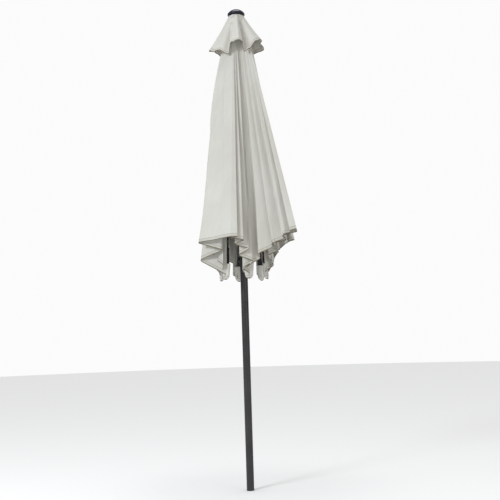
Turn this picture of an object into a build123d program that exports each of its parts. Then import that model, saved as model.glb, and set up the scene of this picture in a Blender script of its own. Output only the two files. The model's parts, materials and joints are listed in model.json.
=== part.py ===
"""Six-rib market umbrella, closed: pole, crank, hub, ribs, struts, runner and folded canopy.

Millimetres. The pole stands on z = 0 with its axis on Z. Rib 1 points to -Y, and the others follow
every 60 degrees towards +X.
"""
from build123d import *
import math
import os

import numpy as np

# Driving dimensions
RIBS = 6
REST_SPLAY = 3.0  # degrees between a rib and the pole when closed
OPEN_SPLAY = 75.0
POLE_R = 19.0
POLE_WALL = 1.5
LOWER_POLE_TOP = 1135.0
POLE_BREAK = 0.8  # the chamfer round the lower pole's top edge
FOOT_CAP_H = 12.0
HUB_Z = 2420.0  # height of the rib pivots
PIVOT_R = 36.0  # distance from the pole's axis to the pivots, in the hub and in the runner
RIB_LENGTH = 1350.0
STRUT_REACH = 550.0  # pivot to pivot, along the rib and along the strut
BAR_T = 8.0
BAR_W = 8.0
BAR_OFFSET = 10.0  # the rib bar's middle lies this far outside the line of its pivots
CLOTH_OFFSET = 20.0  # the cloth lies this far outside that line
PIN_R = 2.5
BORE_R = 2.56
EYE_R = 6.0
HUB_R = 46.0
HUB_H = 26.0
SLOT_W = 9.0
SLOT_INNER_R = 25.0
RUNNER_BORE_R = 19.6
PULLEY_R = 8.0
PULLEY_PLACE_R = 31.0
CORD_R = 1.5
FINIAL_R = 45.5
FINIAL_H = 32.0
VENT_TOP_R = 40.0
VENT_HEM_R = 148.0
VENT_H = 190.0
HOUSING_Z = (1182.0, 1290.0)
CRANK_Z = 1222.0
CRANK_REACH = 60.0
KNOB_LENGTH = 30.0
BUTTON_Z = 1158.0
BUTTON_R = 5.0
BUTTON_HOLE_R = 5.3
SLEEVE_GAP = 0.05
SPINDLE_R = 7.95
SPINDLE_LENGTH = 26.0
ARM_T = 8.0
AXLE_R = 3.0
KNOB_R = 11.0
STUD_R = 8.0
STRUT_EYE_R = 5.5
CAP_W = 26.0
CAP_T = 13.0
PLATE_T = 2.0

# Where the middle of each panel's hem lies when the canopy is folded, in X and Y
FOLD_TIPS = [(206, -300), (281, 12), (121, 281), (-118, 260), (-216, 15), (-106, -218)]
FOLD_TOP_R = 50.0
# Widths of the flat strips of cloth beside each panel's middle fold, in degrees at its apex:
# on the side of the rib before the panel, and on the side of the rib after it
FOLD_STRIPS = [(3.0, 3.5), (3.5, 3.5), (3.5, 3.5), (3.5, 3.5), (3.5, 3.5), (9.0, 3.5)]
RIB_STRIP = 2.2
STRIP_START = 260.0

RUNNER_Z = HUB_Z - 2 * STRUT_REACH * math.cos(math.radians(REST_SPLAY))
SWING = OPEN_SPLAY - REST_SPLAY


def unit(v):
    v = np.array(v, float)
    return v / np.linalg.norm(v)


def turning(axis, degrees):
    """The 3 by 3 matrix that turns a vector about an axis by the right-hand rule."""
    x, y, z = unit(axis)
    k = np.array([[0, -z, y], [z, 0, -x], [-y, x, 0]])
    a = math.radians(degrees)
    return np.eye(3) + math.sin(a) * k + (1 - math.cos(a)) * k @ k


def outward(i):
    a = math.radians(60 * i)
    return np.array([math.sin(a), -math.cos(a), 0.0])


def hinge_axis(i):
    """A rib turns outwards about this axis."""
    return np.cross(np.array([0, 0, -1.0]), outward(i))


def pivot(i):
    return PIVOT_R * outward(i) + np.array([0, 0, HUB_Z])


def rib_way(i, splay=REST_SPLAY):
    a = math.radians(splay)
    return math.sin(a) * outward(i) - math.cos(a) * np.array([0, 0, 1.0])


def rib_out(i, splay=REST_SPLAY):
    """The way from a rib's bar to the cloth."""
    a = math.radians(splay)
    return math.cos(a) * outward(i) + math.sin(a) * np.array([0, 0, 1.0])


def apex():
    """Where the cloth's six rib lines meet when the canopy is open."""
    rise = PIVOT_R / math.tan(math.radians(OPEN_SPLAY))
    return np.array([0, 0, HUB_Z + rise + CLOTH_OFFSET / math.sin(math.radians(OPEN_SPLAY))])


def closed(i, point):
    """Carries a point of rib i from the open canopy back to the closed one."""
    return pivot(i) + turning(hinge_axis(i), -SWING) @ (np.array(point) - pivot(i))


MIDDLE = unit(rib_way(0, OPEN_SPLAY) + rib_way(1, OPEN_SPLAY))
HALF = math.degrees(math.acos(MIDDLE @ rib_way(0, OPEN_SPLAY)))
CLOTH_REACH = RIB_LENGTH + (pivot(0) + CLOTH_OFFSET * rib_out(0, OPEN_SPLAY) - apex()) @ rib_way(0, OPEN_SPLAY)
FOLD_LENGTH = CLOTH_REACH * math.cos(math.radians(HALF))


def open_way(i, side, psi):
    """A line of cloth in the open panel, psi degrees from rib i: side +1 is the panel after the rib."""
    rib = rib_way(i, OPEN_SPLAY)
    other = rib_way(i + side, OPEN_SPLAY)
    across = unit(other - (other @ rib) * rib)
    a = math.radians(psi)
    return math.cos(a) * rib + math.sin(a) * across


def fold_line(p):
    """The top of panel p's middle fold and its way down, when the canopy is closed."""
    a = math.radians(60 * p + 30)
    top = np.array([FOLD_TOP_R * math.sin(a), -FOLD_TOP_R * math.cos(a), closed(0, apex())[2]])
    tip = np.array(FOLD_TIPS[p], float)
    drop = math.sqrt(FOLD_LENGTH**2 - np.sum((tip - top[:2]) ** 2))
    return top, unit([*(tip - top[:2]), -drop])


def fold_hinge(i, side):
    """The point, axis and angle of the turn that carries the middle fold from closed to open, as rib i sees it."""
    top, way = fold_line(i if side > 0 else (i - 1) % RIBS)
    back = turning(hinge_axis(i), -SWING)
    open_top, open_fold = closed(i, apex()), back @ open_way(i, side, HALF)
    direct_axis = np.cross(way, open_fold)
    direct = turning(direct_axis, math.degrees(math.acos(way @ open_fold)))

    def slip(roll):
        turn = direct @ turning(way, roll)
        n = unit([turn[2, 1] - turn[1, 2], turn[0, 2] - turn[2, 0], turn[1, 0] - turn[0, 1]])
        return turn, n, (open_top - turn @ top) @ n

    low, high = -40.0, 40.0
    grid = np.linspace(low, high, 161)
    slips = [slip(r)[2] for r in grid]
    crossings = [k for k in range(160) if slips[k] * slips[k + 1] <= 0]
    k = min(crossings, key=lambda c: abs(grid[c]))
    low, high = grid[k], grid[k + 1]
    for _ in range(60):
        mid = (low + high) / 2
        if slip(low)[2] * slip(mid)[2] <= 0:
            high = mid
        else:
            low = mid
    turn, n, _ = slip(low)
    angle = math.degrees(math.acos((np.trace(turn) - 1) / 2))
    point = np.linalg.lstsq(np.eye(3) - turn, open_top - turn @ top, rcond=None)[0]
    return point, n, angle


# Shapes


def ring(outer, inner, low, high):
    wall = Cylinder(outer, high - low, align=(Align.CENTER, Align.CENTER, Align.MIN))
    if inner > 0:
        wall = wall - Cylinder(inner, high - low, align=(Align.CENTER, Align.CENTER, Align.MIN))
    return Pos(0, 0, low) * wall


def around(shape, i):
    """Turns a shape made for rib 1, which points to -Y, to rib i."""
    return Rot(0, 0, 60 * i) * shape


def rod(start, end, radius):
    start, end = Vector(*start), Vector(*end)
    return Plane(origin=start, z_dir=end - start) * Cylinder(
        radius, (end - start).length, align=(Align.CENTER, Align.CENTER, Align.MIN)
    )


def pin_across(y, z, radius, length):
    """A pin across rib 1's plane."""
    return Pos(0, y, z) * Rot(0, 90, 0) * Cylinder(radius, length)


def slotted_collar(inner, low, high, middle, top_r):
    body = ring(HUB_R, inner, low, high)
    body = chamfer(body.edges().filter_by(GeomType.CIRCLE).group_by(Axis.Z)[-1].sort_by(SortBy.RADIUS)[-1], 3)
    for i in range(RIBS):
        body -= around(Pos(0, -(SLOT_INNER_R + 20), middle) * Box(SLOT_W, 40, 80), i)
        body -= around(pin_across(-PIVOT_R, middle, PIN_R, 26), i)
    if top_r:
        body += ring(top_r, inner, high, high + 8)
    return body


def pole():
    lower = ring(POLE_R, POLE_R - POLE_WALL, 0, LOWER_POLE_TOP)
    rim = lower.edges().filter_by(GeomType.CIRCLE).group_by(Axis.Z)[-1].sort_by(SortBy.RADIUS)[-1]
    lower = chamfer(rim, POLE_BREAK)
    upper = ring(POLE_R, POLE_R - POLE_WALL, LOWER_POLE_TOP, HUB_Z + 34)
    upper -= Pos(0, -POLE_R, BUTTON_Z) * Rot(90, 0, 0) * Cylinder(BUTTON_HOLE_R, 12)
    sleeve_r = POLE_R - POLE_WALL - SLEEVE_GAP
    sleeve = ring(sleeve_r, sleeve_r - 2, LOWER_POLE_TOP - 120, LOWER_POLE_TOP + 60)
    sleeve -= Pos(0, -POLE_R, BUTTON_Z) * Rot(90, 0, 0) * Cylinder(BUTTON_HOLE_R, 12)
    cap = ring(sleeve_r, 0, 0, FOOT_CAP_H)
    button = Pos(0, -POLE_R - 1.5, BUTTON_Z) * Rot(-90, 0, 0) * Cylinder(
        BUTTON_R, 9, align=(Align.CENTER, Align.CENTER, Align.MIN)
    )
    button = fillet(button.edges().sort_by(Axis.Y)[0], 1.2)
    spring = Pos(0, -4, BUTTON_Z) * Rot(90, 0, 0) * ring(3.6, 2.4, 0, 7.0)
    return {
        "pole_lower": lower,
        "pole_upper": upper,
        "pole_joint_sleeve": sleeve,
        "foot_cap": cap,
        "joint_button": button,
        "button_spring": spring,
    }


def top():
    hub = slotted_collar(POLE_R + 0.02, HUB_Z - HUB_H / 2, HUB_Z + HUB_H / 2, HUB_Z, 30)
    slot = Pos(0, -(22 + 15), HUB_Z) * Box(7.6, 30, 80)
    hub -= Rot(0, 0, 30) * slot
    hub -= Rot(0, 0, 30) * pin_across(-PULLEY_PLACE_R, HUB_Z, 2.0, 16)
    pins = Compound([around(pin_across(-PIVOT_R, HUB_Z, PIN_R, 20), i) for i in range(RIBS)])
    wheel = Pos(0, -PULLEY_PLACE_R, HUB_Z) * Rot(0, 90, 0) * Cylinder(PULLEY_R, 6)
    wheel -= pin_across(-PULLEY_PLACE_R, HUB_Z, 2.05, 10)
    groove = Pos(0, -PULLEY_PLACE_R, HUB_Z) * Rot(0, 90, 0) * Torus(PULLEY_R + 0.5, 1.9)
    wheel -= groove
    pulley_pin = Rot(0, 0, 30) * pin_across(-PULLEY_PLACE_R, HUB_Z, 2.0, 14)
    finial_z = HUB_Z + 50
    finial = Pos(0, 0, finial_z) * Cylinder(FINIAL_R, 8, align=(Align.CENTER, Align.CENTER, Align.MIN))
    dome_r = (FINIAL_R**2 + (FINIAL_H - 8) ** 2) / (2 * (FINIAL_H - 8))
    dome = Pos(0, 0, finial_z + FINIAL_H - dome_r) * Sphere(dome_r)
    dome &= Pos(0, 0, finial_z + 8) * Cylinder(FINIAL_R, FINIAL_H, align=(Align.CENTER, Align.CENTER, Align.MIN))
    finial = finial + dome
    finial -= Pos(0, 0, finial_z) * Cylinder(STUD_R + SLEEVE_GAP, 14, align=(Align.CENTER, Align.CENTER, Align.MIN))
    finial -= Pos(0, 0, finial_z + 8) * Torus(FINIAL_R, 0.9)
    finial = chamfer(finial.edges().filter_by(GeomType.CIRCLE).group_by(Axis.Z)[0].sort_by(SortBy.RADIUS)[-1], 2)
    stud = Pos(0, 0, HUB_Z + 34) * Cylinder(POLE_R, 6, align=(Align.CENTER, Align.CENTER, Align.MIN))
    stud += Pos(0, 0, HUB_Z + 40) * Cylinder(STUD_R, 22, align=(Align.CENTER, Align.CENTER, Align.MIN))
    vent_top = HUB_Z + 46
    outer = loft([
        Pos(0, 0, vent_top) * Circle(VENT_TOP_R),
        Pos(0, 0, vent_top - VENT_H) * Circle(VENT_HEM_R),
    ])
    inner = loft([
        Pos(0, 0, vent_top + 1) * Circle(VENT_TOP_R - 4),
        Pos(0, 0, vent_top - VENT_H - 1) * Circle(VENT_HEM_R - 3.4),
    ])
    vent = outer - inner
    vent += ring(VENT_TOP_R, STUD_R + 0.1, vent_top, vent_top + 3)
    return {
        "top_hub": hub,
        "hub_pins": pins,
        "top_pulley": Rot(0, 0, 30) * wheel,
        "pulley_pin": pulley_pin,
        "finial": finial,
        "finial_stud": stud,
        "vent_skirt": vent,
    }


def along_rib(s, out):
    """A point of rib 1: s along its line of pivots from the hub, out from that line."""
    p = pivot(0) + s * rib_way(0) + out * rib_out(0)
    return Vector(*p)


def rib_plane(s, out):
    return Plane(origin=along_rib(s, out), x_dir=(1, 0, 0), z_dir=Vector(*rib_way(0)))


def rib():
    bar_start = 16.0
    bar_end = RIB_LENGTH - 100
    bar = extrude(rib_plane(bar_start, BAR_OFFSET) * Rectangle(BAR_W, BAR_T), bar_end - bar_start)
    eye = Plane(origin=along_rib(0, 0), z_dir=(1, 0, 0)) * Cylinder(EYE_R, BAR_W)
    neck = extrude(rib_plane(0, BAR_OFFSET / 2 - 0.5) * Rectangle(BAR_W, 11), 26)
    body = bar + eye + neck
    body -= Plane(origin=along_rib(0, 0), z_dir=(1, 0, 0)) * Cylinder(BORE_R, 20)
    ears = extrude(rib_plane(STRUT_REACH - 16, 4) * Rectangle(14, 20), 32)
    ears -= extrude(rib_plane(STRUT_REACH - 20, 0) * Rectangle(BAR_W + 0.8, 13.0), 40)
    rivet = Plane(origin=along_rib(STRUT_REACH, 0), z_dir=(1, 0, 0)) * Cylinder(PIN_R, 14)
    return body + ears + rivet


def rib_cap():
    start = RIB_LENGTH - 150
    cap = loft([
        rib_plane(start, BAR_OFFSET) * Rectangle(BAR_W + 5, BAR_T + 4),
        rib_plane(RIB_LENGTH - 42, BAR_OFFSET) * Rectangle(CAP_W, CAP_T),
    ])
    cap += extrude(rib_plane(RIB_LENGTH - 42, BAR_OFFSET) * Rectangle(CAP_W, CAP_T), 34)
    cap -= extrude(rib_plane(start - 1, BAR_OFFSET) * Rectangle(BAR_W + 0.04, BAR_T + 0.04), 51)
    return cap


def strut():
    end = pivot(0) + STRUT_REACH * rib_way(0)
    foot = np.array([0, -PIVOT_R, RUNNER_Z])
    way = unit(foot - end)
    plane = Plane(origin=Vector(*end), x_dir=(1, 0, 0), z_dir=Vector(*way))
    bar = extrude(plane * Rectangle(BAR_W, 6), STRUT_REACH)
    for p in (end, foot):
        bar += Plane(origin=Vector(*p), z_dir=(1, 0, 0)) * Cylinder(STRUT_EYE_R, BAR_W)
    for p in (end, foot):
        bar -= Plane(origin=Vector(*p), z_dir=(1, 0, 0)) * Cylinder(BORE_R, 20)
    return bar


def runner():
    collar = slotted_collar(RUNNER_BORE_R, RUNNER_Z - HUB_H / 2, RUNNER_Z + HUB_H / 2, RUNNER_Z, 28)
    pins = Compound([around(pin_across(-PIVOT_R, RUNNER_Z, PIN_R, 20), i) for i in range(RIBS)])
    return {"runner": collar, "runner_pins": pins}


def lift_cord():
    r = PULLEY_PLACE_R + PULLEY_R - 5
    way = (math.sin(math.radians(30)), -math.cos(math.radians(30)))
    low, high = RUNNER_Z + HUB_H / 2, HUB_Z - HUB_H / 2 - 1
    return rod((r * way[0], r * way[1], low), (r * way[0], r * way[1], high), CORD_R)


def crank():
    """The housing round the pole, with its spindle and handle on the +Y side."""
    low, high = HOUSING_Z
    shell = Pos(0, 0, low) * extrude(RectangleRounded(54, 60, 20), high - low)
    shell = fillet(shell.edges().group_by(Axis.Z)[-1] + shell.edges().group_by(Axis.Z)[0], 5)
    shell -= ring(POLE_R + 0.02, 0, low - 1, high + 1)
    shell -= Pos(0, 30, CRANK_Z) * Rot(-90, 0, 0) * Cylinder(SPINDLE_R + SLEEVE_GAP, 24)
    spindle = Pos(0, POLE_R + 1.5, CRANK_Z) * Rot(-90, 0, 0) * Cylinder(
        SPINDLE_R, SPINDLE_LENGTH, align=(Align.CENTER, Align.CENTER, Align.MIN)
    )
    arm_y = POLE_R + 1.5 + SPINDLE_LENGTH
    arm = Pos(0, arm_y + ARM_T / 2, CRANK_Z - CRANK_REACH / 2) * Box(16, ARM_T, CRANK_REACH)
    arm += Pos(0, arm_y + ARM_T / 2, CRANK_Z) * Rot(90, 0, 0) * Cylinder(13, ARM_T)
    arm += Pos(0, arm_y + ARM_T / 2, CRANK_Z - CRANK_REACH) * Rot(90, 0, 0) * Cylinder(9, ARM_T)
    axle = Pos(0, arm_y + ARM_T, CRANK_Z - CRANK_REACH) * Rot(-90, 0, 0) * Cylinder(
        AXLE_R, KNOB_LENGTH + 1.5, align=(Align.CENTER, Align.CENTER, Align.MIN)
    )
    head = Pos(0, arm_y + ARM_T + KNOB_LENGTH + 1.5, CRANK_Z - CRANK_REACH) * Rot(-90, 0, 0) * Cylinder(
        5.0, 2, align=(Align.CENTER, Align.CENTER, Align.MIN)
    )
    knob = Pos(0, arm_y + ARM_T + 1, CRANK_Z - CRANK_REACH) * Rot(-90, 0, 0) * Cylinder(
        KNOB_R, KNOB_LENGTH, align=(Align.CENTER, Align.CENTER, Align.MIN)
    )
    knob = fillet(knob.edges().filter_by(GeomType.CIRCLE), 4)
    knob -= Pos(0, arm_y + 30, CRANK_Z - CRANK_REACH) * Rot(90, 0, 0) * Cylinder(AXLE_R + 0.06, 60)
    screws = Compound([
        Pos(x, 30, z) * Rot(-90, 0, 0) * Cylinder(3.0, 2, align=(Align.CENTER, Align.CENTER, Align.MIN))
        for x in (-14, 14)
        for z in (low + 14, high - 14)
    ])
    return {
        "crank_housing": shell,
        "crank_spindle": spindle,
        "crank_arm": arm + axle + head,
        "crank_knob": knob,
        "housing_screws": screws,
    }


def plate(corners, out):
    """A thin plate of cloth on four corners, thickened both ways along out."""
    face = make_face(Polyline(*[Vector(*c) for c in corners], close=True))
    return extrude(face, PLATE_T / 2, dir=Vector(*out), both=True)


def cloth_strip(i, side, psi_a, psi_b, turn):
    """The flat cloth between two lines of the half-panel beside rib i, turned from open to folded."""
    q = closed(i, apex())
    back = turning(hinge_axis(i), -SWING)
    corners = []
    for psi, ends in ((psi_a, (0, 1)), (psi_b, (1, 0))):
        way = back @ open_way(i, side, psi)
        reach = FOLD_LENGTH / math.cos(math.radians(HALF - psi))
        for end in ends:
            corners.append(turn(q + way * (STRIP_START, reach - 1)[end]))
    out = unit(np.cross(corners[1] - corners[0], corners[3] - corners[0]))
    return plate(corners, out)


def fold_strip(i, side, width):
    point, axis, angle = fold_hinge(i, side)
    matrix = turning(axis, -angle)
    return cloth_strip(i, side, HALF - width, HALF - 0.25, lambda p: point + matrix @ (p - point))


def rib_strip(i):
    return Compound([cloth_strip(i, side, 0.06, RIB_STRIP, lambda p: p) for side in (1, -1)])


def main():
    os.makedirs("parts", exist_ok=True)
    nodes = {**pole(), **top(), **runner(), **crank(), "lift_cord": lift_cord()}
    one_rib, one_cap, one_strut = rib(), rib_cap(), strut()
    for i in range(RIBS):
        nodes[f"rib_{i + 1}"] = around(one_rib, i)
        nodes[f"rib_cap_{i + 1}"] = around(one_cap, i)
        nodes[f"strut_{i + 1}"] = around(one_strut, i)
        nodes[f"rib_cloth_{i + 1}"] = rib_strip(i)
        first, second = FOLD_STRIPS[i]
        nodes[f"panel_{i + 1}_fold_a"] = fold_strip(i, 1, first)
        nodes[f"panel_{i + 1}_fold_b"] = fold_strip((i + 1) % RIBS, -1, second)
    for name, shape in nodes.items():
        shape.label = name
        export_step(shape, f"parts/{name}.step")


main()
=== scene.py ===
"""Market umbrella, closed: pleated cloth, vent, finial, crank, pole and room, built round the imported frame."""
import json
import math

import bpy
import numpy as np
from mathutils import Matrix, Vector


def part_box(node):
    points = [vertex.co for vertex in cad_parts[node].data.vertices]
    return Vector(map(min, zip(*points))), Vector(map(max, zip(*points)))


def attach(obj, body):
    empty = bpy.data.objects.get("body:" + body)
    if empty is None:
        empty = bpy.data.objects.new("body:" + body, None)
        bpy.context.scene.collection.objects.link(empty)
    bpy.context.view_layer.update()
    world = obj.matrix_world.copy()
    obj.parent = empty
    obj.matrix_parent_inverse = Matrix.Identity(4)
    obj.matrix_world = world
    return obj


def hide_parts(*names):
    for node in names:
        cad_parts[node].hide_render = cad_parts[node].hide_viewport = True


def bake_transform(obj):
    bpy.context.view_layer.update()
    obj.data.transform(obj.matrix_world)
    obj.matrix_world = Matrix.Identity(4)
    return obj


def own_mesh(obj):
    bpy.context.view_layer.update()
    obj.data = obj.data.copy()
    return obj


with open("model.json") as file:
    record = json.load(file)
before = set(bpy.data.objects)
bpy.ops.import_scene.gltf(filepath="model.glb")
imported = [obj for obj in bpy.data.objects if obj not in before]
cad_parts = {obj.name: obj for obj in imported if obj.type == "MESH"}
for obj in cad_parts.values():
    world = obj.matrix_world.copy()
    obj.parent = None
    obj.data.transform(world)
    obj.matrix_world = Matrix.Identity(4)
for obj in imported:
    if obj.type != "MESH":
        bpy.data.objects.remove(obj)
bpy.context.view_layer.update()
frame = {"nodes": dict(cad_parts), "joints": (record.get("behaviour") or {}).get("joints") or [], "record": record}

RIBS = 6
OPEN_SPLAY = math.radians(75)
CLOTH_OFFSET = 0.020
CLOTH_T = 0.0012
RIB_LENGTH = 1.350
JOINTS = {j["name"]: j for j in frame["joints"]}
LEADER = "rib_1_hinge"
HUB_Z = JOINTS[LEADER]["pos_m"][2]
PIVOT_R = -JOINTS[LEADER]["pos_m"][1]
SWING = math.radians(JOINTS[LEADER]["range_deg"][1])
UP = np.array([0, 0, 1.0])

# Each half-panel's pleats, from its rib to the panel's middle fold, as rows down the cloth: distance from the
# apex, softness of the bends in degrees, the widths in degrees that by turns lie still and turn with the fold,
# and how much of the turn each turning width takes
REAR_A = ([1.6, 2.2, 3.4, 2.2, 3.8, 2.0, 3.8, 2.2, 2.8], [0.27, 0.26, 0.23, 0.24])
REAR_B = ([1.4, 2.2, 3.8, 2.0, 3.4, 2.2, 3.6, 2.2, 3.0], [0.25, 0.23, 0.27, 0.25])
BROAD = ([0.7, 1.9, 5.4, 2.2, 4.6, 2.2, 4.4, 2.2, 3.6, 2.0, 2.4], [0.25, 0.18, 0.19, 0.19, 0.19])
BROAD_BACK = ([1.3, 2.2, 3.9, 2.2, 4.0, 2.2, 3.9, 2.2, 2.4], [0.26, 0.24, 0.26, 0.24])
TUCKED = ([1.2, 2.6, 2.6, 2.6, 2.8, 2.6, 2.4, 2.4, 1.3], [0.26, 0.27, 0.25, 0.22])


def even(profile, soft_top, soft_hem):
    """The same pleats all the way down, softer towards the top."""
    return [(0.40, soft_top, *profile), (1.10, soft_hem, *profile)]


PLEATS = {
    "panel_1_fold_a": even(BROAD, 0.95, 0.72),
    "panel_1_fold_b": even(BROAD_BACK, 0.9, 0.6),
    "panel_6_fold_a": [
        (0.22, 0.40, [0.3, 1.5, 0.3, 1.4, 14.5, 1.4, 9.4], [0.40, 0.38, 0.22]),
        (0.42, 0.40, [0.4, 3.2, 1.5, 3.0, 11.6, 1.5, 7.5], [0.43, 0.41, 0.16]),
        (0.63, 0.40, [0.5, 4.6, 3.2, 4.5, 9.6, 1.4, 5.0], [0.44, 0.43, 0.13]),
        (0.88, 0.40, [0.5, 5.4, 4.9, 5.2, 8.2, 1.1, 3.6], [0.47, 0.45, 0.08]),
        (1.12, 0.40, [0.5, 6.0, 6.4, 5.8, 6.6, 0.4, 3.1], [0.50, 0.48, 0.02]),
    ],
    "panel_6_fold_b": even(TUCKED, 0.6, 0.5),
}
for rear in range(2, RIBS):
    PLEATS[f"panel_{rear}_fold_a"] = even(REAR_A, 0.8, 0.5)
    PLEATS[f"panel_{rear}_fold_b"] = even(REAR_B, 0.8, 0.5)
ACROSS, DOWN = 145, 56
FIRST_ROW = 0.060  # the cloth starts this far from the point where the rib lines meet
FRONT = -102.0  # the way to the viewer, in degrees from +X


def outward(i):
    a = math.radians(60 * i)
    return np.array([math.sin(a), -math.cos(a), 0.0])


def open_rib(i):
    return math.sin(OPEN_SPLAY) * outward(i) - math.cos(OPEN_SPLAY) * UP


def turned(points, axis, centre, angle):
    """Points turned about an axis through centre, each by its own angle."""
    axis, p = np.array(axis, float), points - np.array(centre, float)
    angle = np.broadcast_to(angle, p.shape[:-1])[..., None]
    c, s = np.cos(angle), np.sin(angle)
    return centre + p * c + np.cross(axis, p) * s + axis * (p @ axis)[..., None] * (1 - c)


APEX = (HUB_Z + PIVOT_R / math.tan(OPEN_SPLAY) + CLOTH_OFFSET / math.sin(OPEN_SPLAY)) * UP
HALF = math.degrees(math.acos(open_rib(0) @ open_rib(1))) / 2
OUT_OPEN = math.cos(OPEN_SPLAY) * outward(0) + math.sin(OPEN_SPLAY) * UP
PIVOT_0 = np.array([0, -PIVOT_R, HUB_Z])
CLOTH_REACH = RIB_LENGTH + (PIVOT_0 + CLOTH_OFFSET * OUT_OPEN - APEX) @ open_rib(0)
FOLD_LENGTH = CLOTH_REACH * math.cos(math.radians(HALF))


def closed_cloth(i, side, psi, rho):
    """Places on the flat half-panel beside rib i, psi degrees from the rib, carried back to the closed rib."""
    rib, other = open_rib(i), open_rib(i + side)
    across = other - (other @ rib) * rib
    across /= np.linalg.norm(across)
    a = np.radians(psi)[..., None]
    points = APEX + rho[..., None] * (np.cos(a) * rib + np.sin(a) * across)
    hinge = JOINTS[f"rib_{i % RIBS + 1}_hinge"]
    return turned(points, hinge["axis"], hinge["pos_m"], -SWING)


def folded(i, side, psi, rho, w, name):
    hinge = JOINTS[f"{name}_hinge"]
    flat = closed_cloth(i, side, psi, rho)
    return turned(flat, hinge["axis"], hinge["pos_m"], -w * math.radians(hinge["range_deg"][1]))


def row_turns(name, psi, rho):
    """How far the cloth has turned with the fold, from 0 to 1, along one row down a half-panel."""
    rows = PLEATS[name]
    places = [row[0] for row in rows]
    soft = np.interp(rho, places, [row[1] for row in rows])
    widths = np.array([np.interp(rho, places, column) for column in zip(*(row[2] for row in rows))])
    shares = np.array([np.interp(rho, places, column) for column in zip(*(row[3] for row in rows))])
    rises = np.zeros(len(widths))
    rises[1::2] = shares / shares.sum()
    edges = np.append(0, np.cumsum(widths)) * HALF / widths.sum()
    turns = np.append(0, np.cumsum(rises))
    fine = np.linspace(-4, HALF + 4, 1500)
    step = fine[1] - fine[0]
    reach = int(4 * soft / step)
    kernel = np.exp(-0.5 * (np.arange(-reach, reach + 1) * step / soft) ** 2)
    smooth = np.convolve(np.pad(np.interp(fine, edges, turns), reach, mode="edge"), kernel / kernel.sum(), "valid")
    ends = np.interp([0, HALF], fine, smooth)
    return np.clip((np.interp(psi, fine, smooth) - ends[0]) / (ends[1] - ends[0]), 0, 1)


# Meshes


def new_mesh(name, points, faces, uv=None):
    mesh = bpy.data.meshes.new(name)
    mesh.from_pydata([tuple(p) for p in points], [], faces)
    mesh.update()
    if uv is not None:
        layer = mesh.uv_layers.new(name="cloth")
        for loop in mesh.loops:
            layer.data[loop.index].uv = uv[loop.vertex_index]
    obj = bpy.data.objects.new(name, mesh)
    bpy.context.scene.collection.objects.link(obj)
    for p in mesh.polygons:
        p.use_smooth = True
    return obj


def grid_faces(rows, columns, flip=False, wrap=False):
    faces = []
    for r in range(rows - 1):
        for c in range(columns if wrap else columns - 1):
            d = (c + 1) % columns
            quad = (r * columns + c, r * columns + d, (r + 1) * columns + d, (r + 1) * columns + c)
            faces.append(quad[::-1] if flip else quad)
    return faces


def apply_modifiers(obj):
    bpy.ops.object.select_all(action="DESELECT")
    bpy.context.view_layer.objects.active = obj
    obj.select_set(True)
    for m in list(obj.modifiers):
        bpy.ops.object.modifier_apply(modifier=m.name)
    obj.select_set(False)


def dress(obj, material):
    obj.data.materials.clear()
    obj.data.materials.append(material)
    return obj


# Materials


class Nodes:
    """A node tree with short calls for the nodes that these finishes use."""

    def __init__(self, name):
        self.material = bpy.data.materials.new(name)
        self.material.use_nodes = True
        self.tree = self.material.node_tree
        self.shader = self.tree.nodes["Principled BSDF"]

    def add(self, kind, **settings):
        node = self.tree.nodes.new(kind)
        for key, value in settings.items():
            setattr(node, key, value)
        return node

    def link(self, a, b):
        self.tree.links.new(a, b)

    def noise(self, source, scale, detail=3.0, stretch=(1, 1, 1)):
        mapping = self.add("ShaderNodeMapping")
        mapping.inputs["Scale"].default_value = stretch
        self.link(source, mapping.inputs["Vector"])
        noise = self.add("ShaderNodeTexNoise")
        noise.inputs["Scale"].default_value = scale
        noise.inputs["Detail"].default_value = detail
        self.link(mapping.outputs["Vector"], noise.inputs["Vector"])
        return noise.outputs["Fac"]

    def ramp(self, value, stops):
        ramp = self.add("ShaderNodeValToRGB")
        elements = ramp.color_ramp.elements
        while len(elements) < len(stops):
            elements.new(0.5)
        for element, (place, color) in zip(elements, stops):
            element.position = place
            element.color = (*color, 1)
        self.link(value, ramp.inputs["Fac"])
        return ramp.outputs["Color"]

    def math(self, operation, a, b):
        node = self.add("ShaderNodeMath", operation=operation)
        for socket, value in zip(node.inputs, (a, b)):
            if isinstance(value, (int, float)):
                socket.default_value = value
            else:
                self.link(value, socket)
        return node.outputs[0]

    def bump(self, height, strength, distance):
        bump = self.add("ShaderNodeBump")
        bump.inputs["Strength"].default_value = strength
        bump.inputs["Distance"].default_value = distance
        self.link(height, bump.inputs["Height"])
        self.link(bump.outputs["Normal"], self.shader.inputs["Normal"])


def mixed(nodes, a, b, factor):
    mix = nodes.add("ShaderNodeMix", data_type="RGBA", blend_type="MULTIPLY")
    mix.inputs["Factor"].default_value = factor
    nodes.link(a, mix.inputs[6])
    nodes.link(b, mix.inputs[7])
    return mix.outputs[2]


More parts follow.
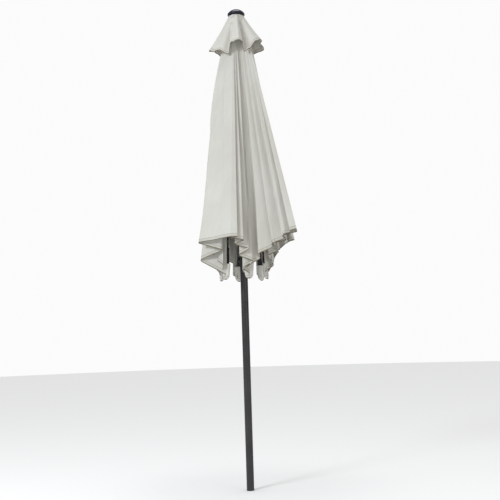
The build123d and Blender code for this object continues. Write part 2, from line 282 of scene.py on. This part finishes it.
def canopy_cloth():
    """Pale stone polyester: fine weave, faint cloudy fading, and a stitched hem from the piece's own map."""
    n = Nodes("canopy_cloth")
    uv = n.add("ShaderNodeUVMap", uv_map="cloth").outputs["UV"]
    place = n.add("ShaderNodeTexCoord").outputs["Object"]
    cloudy = n.noise(uv, 3.0, 4)
    tint = n.ramp(cloudy, [(0.3, (0.585, 0.572, 0.520)), (0.7, (0.665, 0.655, 0.612))])
    streaks = n.noise(uv, 9.0, 3, (14, 1, 1))
    streak_tint = n.ramp(streaks, [(0.35, (0.975, 0.97, 0.96)), (0.6, (1, 1, 1))])
    tint = mixed(n, tint, streak_tint, 1.0)
    split = n.add("ShaderNodeSeparateXYZ")
    n.link(uv, split.inputs[0])
    near_hem = n.math("LESS_THAN", split.outputs["Y"], 0.018)
    thread = n.math("LESS_THAN", n.math("ABSOLUTE", n.math("SUBTRACT", split.outputs["Y"], 0.017), 0), 0.0010)
    hem_tint = n.ramp(near_hem, [(0.0, (1, 1, 1)), (1.0, (0.90, 0.89, 0.87))])
    thread_tint = n.ramp(thread, [(0.0, (1, 1, 1)), (1.0, (0.62, 0.60, 0.55))])
    tint = mixed(n, mixed(n, tint, hem_tint, 1.0), thread_tint, 1.0)
    # The last 4.5 mm at the cloth's edge is darkened to a dark brown line.
    edge_tint = n.ramp(n.math("LESS_THAN", split.outputs["Y"], 0.0045), [(0.0, (1, 1, 1)), (1.0, (0.34, 0.31, 0.25))])
    tint = mixed(n, tint, edge_tint, 1.0)
    n.link(tint, n.shader.inputs["Base Color"])
    warp = n.add("ShaderNodeTexWave", wave_type="BANDS", bands_direction="X")
    weft = n.add("ShaderNodeTexWave", wave_type="BANDS", bands_direction="Y")
    for wave in (warp, weft):
        wave.inputs["Scale"].default_value = 260.0
        n.link(uv, wave.inputs["Vector"])
    weave = n.math("MULTIPLY", warp.outputs["Fac"], weft.outputs["Fac"])
    creases = n.noise(place, 16.0, 4, (1.0, 1.0, 0.22))
    height = n.math("ADD", n.math("MULTIPLY", weave, 0.03), creases)
    height = n.math("ADD", height, n.math("MULTIPLY", near_hem, 0.12))
    n.bump(height, 0.30, 0.008)
    n.shader.inputs["Roughness"].default_value = 0.86
    n.shader.inputs["Sheen Weight"].default_value = 0.12
    n.shader.inputs["Specular IOR Level"].default_value = 0.25
    return n.material


def enamel(name, dark, light, roughness):
    """Powder coat: a fine orange-peel with faint dusty patches."""
    n = Nodes(name)
    place = n.add("ShaderNodeTexCoord").outputs["Object"]
    n.link(n.ramp(n.noise(place, 7.0, 5), [(0.35, dark), (0.75, light)]), n.shader.inputs["Base Color"])
    gloss = n.ramp(n.noise(place, 30.0, 4), [(0.3, (roughness - 0.06,) * 3), (0.7, (roughness + 0.08,) * 3)])
    n.link(gloss, n.shader.inputs["Roughness"])
    n.bump(n.noise(place, 900.0, 2), 0.10, 0.0006)
    n.shader.inputs["Metallic"].default_value = 0.25
    return n.material


def plastic(name, dark, light, roughness, grain):
    n = Nodes(name)
    place = n.add("ShaderNodeTexCoord").outputs["Object"]
    n.link(n.ramp(n.noise(place, 12.0, 4), [(0.3, dark), (0.7, light)]), n.shader.inputs["Base Color"])
    gloss = n.ramp(n.noise(place, 60.0, 3), [(0.3, (roughness - 0.05,) * 3), (0.7, (roughness + 0.05,) * 3)])
    n.link(gloss, n.shader.inputs["Roughness"])
    n.bump(n.noise(place, grain, 2), 0.15, 0.0004)
    return n.material


def metal(name, dark, light, roughness):
    n = Nodes(name)
    place = n.add("ShaderNodeTexCoord").outputs["Object"]
    n.link(n.ramp(n.noise(place, 80.0, 3, (1, 1, 8)), [(0.3, dark), (0.7, light)]), n.shader.inputs["Base Color"])
    n.bump(n.noise(place, 500.0, 2, (1, 1, 0.1)), 0.08, 0.0003)
    n.shader.inputs["Metallic"].default_value = 1.0
    n.shader.inputs["Roughness"].default_value = roughness
    return n.material


def braid():
    n = Nodes("braided_cord")
    place = n.add("ShaderNodeTexCoord").outputs["Object"]
    wave = n.add("ShaderNodeTexWave", wave_type="BANDS", bands_direction="DIAGONAL")
    wave.inputs["Scale"].default_value = 320.0
    n.link(place, wave.inputs["Vector"])
    strands = n.ramp(wave.outputs["Fac"], [(0.2, (0.02, 0.02, 0.02)), (0.9, (0.13, 0.13, 0.12))])
    n.link(strands, n.shader.inputs["Base Color"])
    n.bump(wave.outputs["Fac"], 0.4, 0.0006)
    n.shader.inputs["Roughness"].default_value = 0.8
    return n.material


FINISHES = {
    "canopy_cloth": canopy_cloth(),
    "pole_enamel": enamel("pole_enamel", (0.030, 0.028, 0.031), (0.052, 0.049, 0.052), 0.34),
    "frame_enamel": enamel("frame_enamel", (0.020, 0.019, 0.020), (0.040, 0.038, 0.040), 0.42),
    "zinc_steel": metal("zinc_steel", (0.42, 0.42, 0.43), (0.60, 0.60, 0.60), 0.38),
    "bright_button": metal("bright_button", (0.66, 0.65, 0.62), (0.80, 0.79, 0.75), 0.25),
    "black_nylon": plastic("black_nylon", (0.014, 0.014, 0.015), (0.028, 0.027, 0.027), 0.55, 700.0),
    "moulded_plastic": plastic("moulded_plastic", (0.009, 0.009, 0.010), (0.020, 0.020, 0.022), 0.48, 600.0),
    "finial_gloss": plastic("finial_gloss", (0.008, 0.011, 0.024), (0.014, 0.018, 0.036), 0.16, 300.0),
    "braided_cord": braid(),
}


def finish_frame():
    slots = {s["node"]: s["material_slot"] for s in frame["record"]["subparts"]}
    for name, obj in frame["nodes"].items():
        obj.data.materials.clear()
        obj.data.materials.append(FINISHES[slots[name]])


# Cloth


def half_panel(i, side, name):
    psi_line = np.linspace(0, HALF, ACROSS)
    reach = FOLD_LENGTH / np.cos(np.radians(HALF - psi_line))
    down = np.linspace(0, 1, DOWN) ** 0.9
    rho = FIRST_ROW + (reach[None, :] - FIRST_ROW) * down[:, None]
    psi = np.broadcast_to(psi_line, rho.shape)
    w = np.array([row_turns(name, psi_line, FIRST_ROW + (FOLD_LENGTH - FIRST_ROW) * d) for d in down])
    points = folded(i, side, psi, rho, w, name).reshape(-1, 3)
    uv = np.stack([rho * np.radians(psi), reach[None, :] - rho], -1).reshape(-1, 2)
    obj = new_mesh(name.replace("fold", "cloth"), points, grid_faces(DOWN, ACROSS, flip=side < 0), uv)
    add_wrinkles(obj, rho.reshape(-1), psi.reshape(-1), i, side)
    rib_body = f"rib_{i % RIBS + 1}"
    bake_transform(obj)
    dress(obj, FINISHES["canopy_cloth"])
    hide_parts(name, *([rib_body.replace("rib", "rib_cloth")] if side > 0 else []))
    return obj


def add_wrinkles(obj, rho, psi, i, side):
    """Slack in the cloth: long shallow ripples that grow towards the hem and die out at the seam and the fold."""
    mesh = obj.data
    normals = np.array([v.normal for v in mesh.vertices])
    points = np.array([v.co for v in mesh.vertices])
    phase = 1.7 * i + (0.9 if side > 0 else 2.3)
    depth = 0.0045 * (rho / CLOTH_REACH) * np.sin(math.pi * psi / HALF)
    ripple = np.sin(psi * 0.55 + 3.1 * rho + phase) + 0.6 * np.sin(psi * 1.15 - 5.0 * rho + 2 * phase)
    ripple += 0.5 * np.sin(11 * rho + phase + 0.3 * psi)
    points += normals * (depth * ripple)[:, None]
    mesh.vertices.foreach_set("co", points.reshape(-1))
    mesh.update()


SEAM_START, SEAM_SHORT = 0.10, 0.004  # where a seam starts from the apex, and how far it stops short of the hem
POCKET_LENGTH, POCKET_UP = 0.080, 0.066  # a pocket's length, and how far up from the hem it starts


def rib_frame(i):
    """A rib's way, the way out to the cloth, the way across it, and the point where the cloth's line starts."""
    closed = open_rib(i), math.cos(OPEN_SPLAY) * outward(i) + math.sin(OPEN_SPLAY) * UP
    hinge = JOINTS[f"rib_{i + 1}_hinge"]
    way, out = (turned(v[None], hinge["axis"], (0, 0, 0), -SWING)[0] for v in closed)
    top = turned(APEX[None], hinge["axis"], hinge["pos_m"], -SWING)[0]
    return way, out, np.cross(way, out), top


def rib_seam(i):
    """The felled seam over a rib: a low ridge of doubled cloth from the vent to the hem."""
    way, out, across, top = rib_frame(i)
    half_profile = [(0.001, 0.0016), (0.006, 0.0008), (0.007, -0.0012)]
    profile = [(-x, h) for x, h in reversed(half_profile)] + half_profile
    rows = 60
    points, uv = [], []
    for r in range(rows):
        s = SEAM_START + (CLOTH_REACH - SEAM_START - SEAM_SHORT) * r / (rows - 1)
        for x, h in profile:
            points.append(top + s * way + x * across + (h + 0.0004 * math.sin(90 * s)) * out)
            uv.append((x + 0.3, CLOTH_REACH - s))
    obj = new_mesh(f"rib_seam_{i + 1}", points, grid_faces(rows, len(profile), flip=True), uv)
    dress(obj, FINISHES["canopy_cloth"])
    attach(obj, f"rib_{i + 1}")


def rib_pocket(i):
    """The doubled pocket at a rib's tip that the end cap slips into, rounded to a point below it."""
    way, out, across, top = rib_frame(i)
    rows, inside, outside = 26, 19, 9
    points, uv = [], []
    for r in range(rows):
        t = r / (rows - 1)
        s = CLOTH_REACH - POCKET_UP + POCKET_LENGTH * t
        tip = math.sqrt(max(0.02, 1 - max(0, (t - 0.74) / 0.27) ** 2))
        half = 0.0265 * (1 - 0.30 * t) * tip
        depth = 0.0195 * (1 - 0.12 * t) * tip
        for c in range(inside):
            u = (2 * c / (inside - 1) - 1) * math.pi / 2
            points.append(top + s * way + half * math.sin(u) * across - (depth * math.cos(u) ** 0.6) * out)
            uv.append((0.5 + 0.5 * half * math.sin(u), POCKET_LENGTH * (1 - t)))
        for c in range(1, outside):
            x = 1 - 2 * c / outside
            points.append(top + s * way + half * x * across + 0.0026 * (1 - x * x) * out)
            uv.append((0.6 + half * x, POCKET_LENGTH * (1 - t)))
    columns = inside + outside - 1
    faces = grid_faces(rows, columns, flip=True, wrap=True)
    faces.append(tuple(range((rows - 1) * columns, rows * columns)))
    obj = new_mesh(f"rib_pocket_{i + 1}", points, faces, uv)
    solid = obj.modifiers.new("thickness", "SOLIDIFY")
    solid.thickness = CLOTH_T
    solid.offset = -1
    apply_modifiers(obj)
    dress(obj, FINISHES["canopy_cloth"])
    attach(obj, f"rib_{i + 1}")


def eyelet_model():
    """One pressed eyelet at the origin: a sloping flange, a rolled lip and the barrel under it."""
    bpy.ops.object.select_all(action="DESELECT")
    bpy.ops.mesh.primitive_circle_add(vertices=28, radius=0.0062, fill_type="NOTHING", location=(0, 0, 0))
    ring = bpy.context.object
    bpy.ops.object.mode_set(mode="EDIT")
    bpy.ops.mesh.select_all(action="SELECT")
    for rise, shrink in ((0.0009, 0.93), (0.0004, 0.78), (-0.0005, 0.84), (-0.0022, 0.97)):
        bpy.ops.mesh.extrude_region_move(TRANSFORM_OT_translate={"value": (0, 0, rise)})
        bpy.ops.transform.resize(value=(shrink, shrink, 1))
    bpy.ops.mesh.select_all(action="SELECT")
    bpy.ops.mesh.normals_make_consistent(inside=False)
    bpy.ops.object.mode_set(mode="OBJECT")
    solid = ring.modifiers.new("thickness", "SOLIDIFY")
    solid.thickness = 0.0004
    round_off = ring.modifiers.new("round", "SUBSURF")
    round_off.levels = round_off.render_levels = 1
    apply_modifiers(ring)
    for p in ring.data.polygons:
        p.use_smooth = True
    return ring


def eyelets():
    model = eyelet_model()
    for i in range(RIBS):
        way, out, across, top = rib_frame(i)
        eyelet = bpy.data.objects.new(f"rib_eyelet_{i + 1}", model.data.copy())
        bpy.context.scene.collection.objects.link(eyelet)
        turn = Matrix((tuple(across), tuple(way), tuple(out))).transposed().to_4x4()
        eyelet.data.transform(Matrix.Translation(Vector(top + (CLOTH_REACH - 0.006) * way + 0.0022 * out)) @ turn)
        dress(eyelet, FINISHES["zinc_steel"])
        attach(eyelet, f"rib_{i + 1}")
    bpy.data.objects.remove(model)


# The vent's hem: degrees round from the front, radius and drop from the finial in metres
VENT_HEM = [
    (-180, 0.138, 0.176), (-150, 0.142, 0.176), (-118, 0.146, 0.170), (-92, 0.150, 0.180), (-68, 0.138, 0.205),
    (-50, 0.130, 0.208), (-28, 0.112, 0.236), (-13, 0.132, 0.184), (2, 0.146, 0.179), (12, 0.138, 0.184),
    (21, 0.110, 0.226), (34, 0.126, 0.210), (46, 0.138, 0.170), (62, 0.146, 0.154), (80, 0.136, 0.164),
    (100, 0.146, 0.168), (130, 0.136, 0.178), (155, 0.144, 0.172),
]
VENT_TOP = HUB_Z + 0.046
HUB_TOP_DROP, HUB_CLEAR = 0.020, 0.0495  # below this drop the vent passes outside the hub
VENT_NECK, VENT_HEM_MEAN = 0.040, 0.142  # the vent's radius at the finial, and about the middle of its hem's


def vent_skirt():
    """The wind vent: a six-gore skirt under the finial, dropped in soft folds, its hem lifted in two flaps."""
    columns, rows = 288, 40
    angle = np.linspace(-180, 180, columns, endpoint=False)
    ends = np.array(VENT_HEM + [(180, *VENT_HEM[0][1:])])

    def eased(k):
        found = np.clip(np.searchsorted(ends[:, 0], angle, side="right") - 1, 0, len(ends) - 2)
        t = (angle - ends[found, 0]) / (ends[found + 1, 0] - ends[found, 0])
        t = t * t * (3 - 2 * t)
        return ends[found, k] + (ends[found + 1, k] - ends[found, k]) * t

    radius, drop = eased(1), eased(2)
    points, uv = [], []
    for r in range(rows):
        t = r / (rows - 1)
        lean = VENT_NECK + (VENT_HEM_MEAN - VENT_NECK) * (0.80 * t + 0.20 * t * t)
        lean = lean + (radius - VENT_HEM_MEAN) * t**0.6
        gore = 1 - 0.05 * t * np.abs(np.cos(np.radians(3 * (angle - 12)))) ** 2
        fold = 0.0055 * t * np.sin(np.radians(7 * angle + 40)) + 0.003 * t * np.sin(np.radians(17 * angle))
        for c in range(columns):
            world = math.radians(FRONT + angle[c])
            reach = lean[c] * gore[c] + fold[c]
            if drop[c] * t > HUB_TOP_DROP:
                reach = max(reach, HUB_CLEAR)
            points.append((reach * math.cos(world), reach * math.sin(world), VENT_TOP - drop[c] * t - 0.002))
            uv.append((0.14 * math.radians(angle[c] + 180), drop[c] * 1.2 * (1 - t)))
    obj = new_mesh("vent_cloth", points, grid_faces(rows, columns, flip=True, wrap=True), uv)
    solid = obj.modifiers.new("thickness", "SOLIDIFY")
    solid.thickness = CLOTH_T
    solid.offset = -1
    apply_modifiers(obj)
    dress(obj, FINISHES["canopy_cloth"])
    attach(obj, "pole")
    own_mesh(obj)
    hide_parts("vent_skirt")


def lift_cord():
    """The cord's run outside the pole, twisted in three strands."""
    low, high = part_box("lift_cord")
    middle = [(low[k] + high[k]) / 2 for k in range(2)]
    rows, columns, radius = 160, 10, (high[0] - low[0]) / 2
    points = []
    for r in range(rows):
        z = high[2] + (low[2] - high[2]) * r / (rows - 1)
        for c in range(columns):
            a = 2 * math.pi * c / columns + 0.35 * r
            swell = radius * (0.88 + 0.12 * math.cos(3 * (a - 0.35 * r)))
            points.append((middle[0] + swell * math.cos(a), middle[1] + swell * math.sin(a), z))
    faces = grid_faces(rows, columns, flip=True, wrap=True)
    faces += [tuple(range(columns)), tuple(reversed(range((rows - 1) * columns, rows * columns)))]
    obj = new_mesh("lift_cord_run", points, faces)
    dress(obj, FINISHES["braided_cord"])
    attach(obj, "pole")
    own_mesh(obj)
    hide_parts("lift_cord")


def button_coil():
    """The button's coil spring, a merged copy of its wire."""
    source = frame["nodes"]["button_spring"]
    coil = source.copy()
    coil.data = source.data.copy()
    coil.name = "button_coil"
    bpy.context.scene.collection.objects.link(coil)
    bpy.ops.object.select_all(action="DESELECT")
    bpy.context.view_layer.objects.active = coil
    coil.select_set(True)
    bpy.ops.object.mode_set(mode="EDIT")
    bpy.ops.mesh.select_all(action="SELECT")
    bpy.ops.mesh.remove_doubles(threshold=1e-5)
    bpy.ops.object.mode_set(mode="OBJECT")
    coil.select_set(False)
    dress(coil, FINISHES["zinc_steel"])
    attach(coil, "pole")
    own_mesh(coil)
    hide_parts("button_spring")


# Room

CAMERA_AWAY, EYE_HEIGHT, CAMERA_LENS = 4.2, 0.80, 58.7
AIM_RIGHT, LOOK_UP, CAMERA_ROLL = 0.035, math.radians(5.63), math.radians(1.8)
FLOOR_R = 14
LIT, SEEN = 0.28, 0.97  # the room's white as it lights the object, and as the camera sees it


def camera():
    data = bpy.data.cameras.new("camera")
    data.lens = CAMERA_LENS
    obj = bpy.data.objects.new("camera", data)
    bpy.context.scene.collection.objects.link(obj)
    front = math.radians(FRONT)
    toward = Vector((math.cos(front), math.sin(front), 0))
    right = Vector((-toward.y, toward.x, 0))
    place = toward * CAMERA_AWAY + Vector((0, 0, EYE_HEIGHT))
    aim = right * AIM_RIGHT + Vector((0, 0, EYE_HEIGHT + CAMERA_AWAY * math.tan(LOOK_UP)))
    back = (place - aim).normalized()
    side = Vector((0, 0, 1)).cross(back).normalized()
    up = back.cross(side)
    tilted = up * math.cos(CAMERA_ROLL) + side * math.sin(CAMERA_ROLL)
    side = tilted.cross(back)
    turn = Matrix((side, tilted, back)).transposed().to_4x4()
    obj.matrix_world = Matrix.Translation(place) @ turn
    bpy.context.scene.camera = obj


def area_light(name, place, aim, size, power, color):
    data = bpy.data.lights.new(name, "AREA")
    data.shape, data.size, data.energy, data.color = "DISK", size, power, color
    obj = bpy.data.objects.new(name, data)
    bpy.context.scene.collection.objects.link(obj)
    way = Vector(aim) - Vector(place)
    obj.matrix_world = Matrix.Translation(place) @ way.to_track_quat("-Z", "Y").to_matrix().to_4x4()


def room():
    bpy.ops.object.select_all(action="DESELECT")
    bpy.ops.mesh.primitive_circle_add(vertices=96, radius=FLOOR_R, fill_type="NGON", location=(0, 0, -0.0005))
    floor = bpy.context.object
    floor.name = "floor"
    n = Nodes("pale_floor")
    n.shader.inputs["Base Color"].default_value = (0.93, 0.93, 0.925, 1)
    n.shader.inputs["Roughness"].default_value = 0.9
    floor.data.materials.append(n.material)
    world = bpy.data.worlds.new("room")
    bpy.context.scene.world = world
    world.use_nodes = True
    tree = world.node_tree
    lit = tree.nodes["Background"]
    lit.inputs["Color"].default_value = (0.97, 0.985, 1.0, 1)
    lit.inputs["Strength"].default_value = LIT
    seen = tree.nodes.new("ShaderNodeBackground")
    seen.inputs["Color"].default_value = (1, 1, 1, 1)
    seen.inputs["Strength"].default_value = SEEN
    path = tree.nodes.new("ShaderNodeLightPath")
    mix = tree.nodes.new("ShaderNodeMixShader")
    tree.links.new(path.outputs["Is Camera Ray"], mix.inputs[0])
    tree.links.new(lit.outputs[0], mix.inputs[1])
    tree.links.new(seen.outputs[0], mix.inputs[2])
    tree.links.new(mix.outputs[0], tree.nodes["World Output"].inputs[0])
    sun = bpy.data.lights.new("ceiling", "SUN")
    sun.energy, sun.angle = 1.8, math.radians(50)
    overhead = bpy.data.objects.new("ceiling", sun)
    bpy.context.scene.collection.objects.link(overhead)
    area_light("key", (-3.4, -2.4, 2.9), (0, 0, 1.7), 1.2, 92, (0.92, 0.965, 1.0))
    area_light("fill", (2.4, -3.6, 1.7), (0, 0, 1.6), 2.0, 20, (1.0, 0.975, 0.93))
    bpy.context.scene.view_settings.view_transform = "Standard"


finish_frame()
for rib in range(RIBS):
    half_panel(rib, 1, f"panel_{rib + 1}_fold_a")
    half_panel(rib, -1, f"panel_{(rib - 1) % RIBS + 1}_fold_b")
    rib_seam(rib)
    rib_pocket(rib)
eyelets()
vent_skirt()
lift_cord()
button_coil()
camera()
room()
